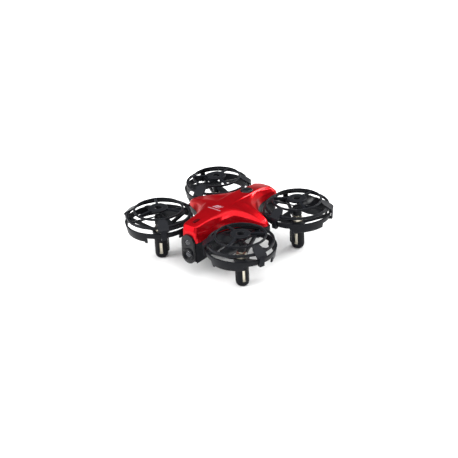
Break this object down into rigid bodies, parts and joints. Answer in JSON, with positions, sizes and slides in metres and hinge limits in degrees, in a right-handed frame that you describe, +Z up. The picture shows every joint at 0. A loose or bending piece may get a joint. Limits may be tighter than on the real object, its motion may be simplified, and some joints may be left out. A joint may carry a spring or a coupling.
{
  "type": "mini palm drone",
  "caption": "Palm-sized quadcopter with a faceted red body, ducted propellers under clip-on guards, nose camera and a slide-out battery.",
  "frame": {"origin": "on the ground under the middle of the aircraft, at the centre of the box round its base", "axes": "+Z up, the nose camera looks along -Y, +X across the aircraft"},
  "size_m": [0.1422, 0.131, 0.0462],
  "materials": {
    "red_shell": "candy metallic, clear coated",
    "body_black": "fine textured",
    "gloss_black": "polished",
    "lens_glass": "coated",
    "module_black": "moulded",
    "flex_film": "polyimide film",
    "smoky_window": "tinted",
    "led_body": "clear",
    "button_black": "satin to gloss",
    "circuit_board": "solder mask",
    "wire_sleeve": "soft sleeve",
    "cell_pouch": "foil pouch",
    "steel": "bright",
    "duct_black": "satin moulded",
    "guard_black": "satin moulded",
    "propeller_black": "smooth moulded",
    "motor_can": "warm plated steel",
    "copper_winding": "lacquered wire",
    "end_cap": "moulded"
  },
  "bodies": {
    "airframe": {"top_shell": "red_shell", "lower_shell": "body_black", "camera_bezel": "gloss_black", "camera_lens_ring": "gloss_black", "camera_lens": "lens_glass", "camera_module": "module_black", "camera_flex": "flex_film", "sensor_lens": "lens_glass", "led_window": "smoky_window", "status_led": "led_body", "power_switch": "module_black", "main_pcb": "circuit_board", "pcb_chips": "module_black", "antenna": "wire_sleeve", "battery_socket": "module_black", "body_screws": "steel", "duct_screws": "steel", "duct_front_left": "duct_black", "guard_front_left": "guard_black", "motor_front_left": "motor_can", "motor_cap_front_left": "end_cap", "motor_lead_front_left": "wire_sleeve", "duct_front_right": "duct_black", "guard_front_right": "guard_black", "motor_front_right": "motor_can", "motor_cap_front_right": "end_cap", "motor_lead_front_right": "wire_sleeve", "duct_rear_left": "duct_black", "guard_rear_left": "guard_black", "motor_rear_left": "motor_can", "motor_cap_rear_left": "end_cap", "motor_lead_rear_left": "wire_sleeve", "duct_rear_right": "duct_black", "guard_rear_right": "guard_black", "motor_rear_right": "motor_can", "motor_cap_rear_right": "end_cap", "motor_lead_rear_right": "wire_sleeve"},
    "power_button": {"power_button": "button_black"},
    "battery": {"battery_case": "body_black", "battery_cell": "cell_pouch", "charge_port": "steel"},
    "rotor_front_left": {"propeller_front_left": "propeller_black", "motor_shaft_front_left": "steel", "motor_coil_front_left": "copper_winding"},
    "rotor_front_right": {"propeller_front_right": "propeller_black", "motor_shaft_front_right": "steel", "motor_coil_front_right": "copper_winding"},
    "rotor_rear_left": {"propeller_rear_left": "propeller_black", "motor_shaft_rear_left": "steel", "motor_coil_rear_left": "copper_winding"},
    "rotor_rear_right": {"propeller_rear_right": "propeller_black", "motor_shaft_rear_right": "steel", "motor_coil_rear_right": "copper_winding"}
  },
  "joints": [
    {"name": "propeller_front_left_spin", "type": "hinge", "parent": "airframe", "child": "rotor_front_left", "pos_m": [-0.042, -0.0375, 0.0365], "axis": [0, 0, 1], "continuous": true},
    {"name": "propeller_front_right_spin", "type": "hinge", "parent": "airframe", "child": "rotor_front_right", "pos_m": [0.042, -0.0375, 0.0365], "axis": [0, 0, 1], "continuous": true},
    {"name": "propeller_rear_left_spin", "type": "hinge", "parent": "airframe", "child": "rotor_rear_left", "pos_m": [-0.042, 0.0375, 0.0365], "axis": [0, 0, 1], "continuous": true},
    {"name": "propeller_rear_right_spin", "type": "hinge", "parent": "airframe", "child": "rotor_rear_right", "pos_m": [0.042, 0.0375, 0.0365], "axis": [0, 0, 1], "continuous": true},
    {"name": "power_button_press", "type": "slide", "parent": "airframe", "child": "power_button", "axis": [0, 0, -1], "range_m": [0, 0.0005], "stiffness_N_per_m": 300, "springref_m": -0.0005},
    {"name": "battery_slide", "type": "slide", "parent": "airframe", "child": "battery", "axis": [0, 1, 0], "range_m": [0, 0.046]}
  ]
}
